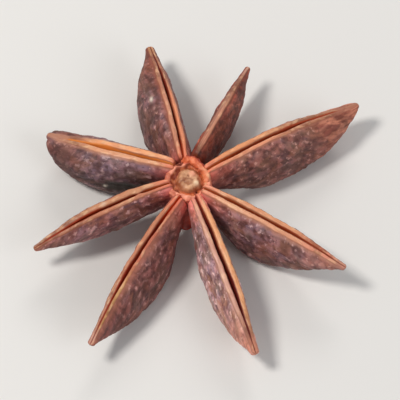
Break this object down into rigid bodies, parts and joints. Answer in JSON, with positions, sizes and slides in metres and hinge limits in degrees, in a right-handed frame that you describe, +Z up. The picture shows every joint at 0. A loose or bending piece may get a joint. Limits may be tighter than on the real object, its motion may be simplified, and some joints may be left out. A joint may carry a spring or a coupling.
{
  "type": "star anise pod",
  "caption": "Dried star-shaped spice pod: slender boat-like carpels round a short central column, each split along its upper seam.",
  "frame": {"origin": "centre of the footprint box, on the surface that the pod rests on", "axes": "+Z up along the pod's own axis with the seams on top; -Y towards the viewer, +X to the viewer's right"},
  "size_m": [0.036, 0.039, 0.0073],
  "materials": {
    "pod_skin": "matte"
  },
  "bodies": {
    "root": {"star_anise_pod": "pod_skin"}
  },
  "joints": []
}
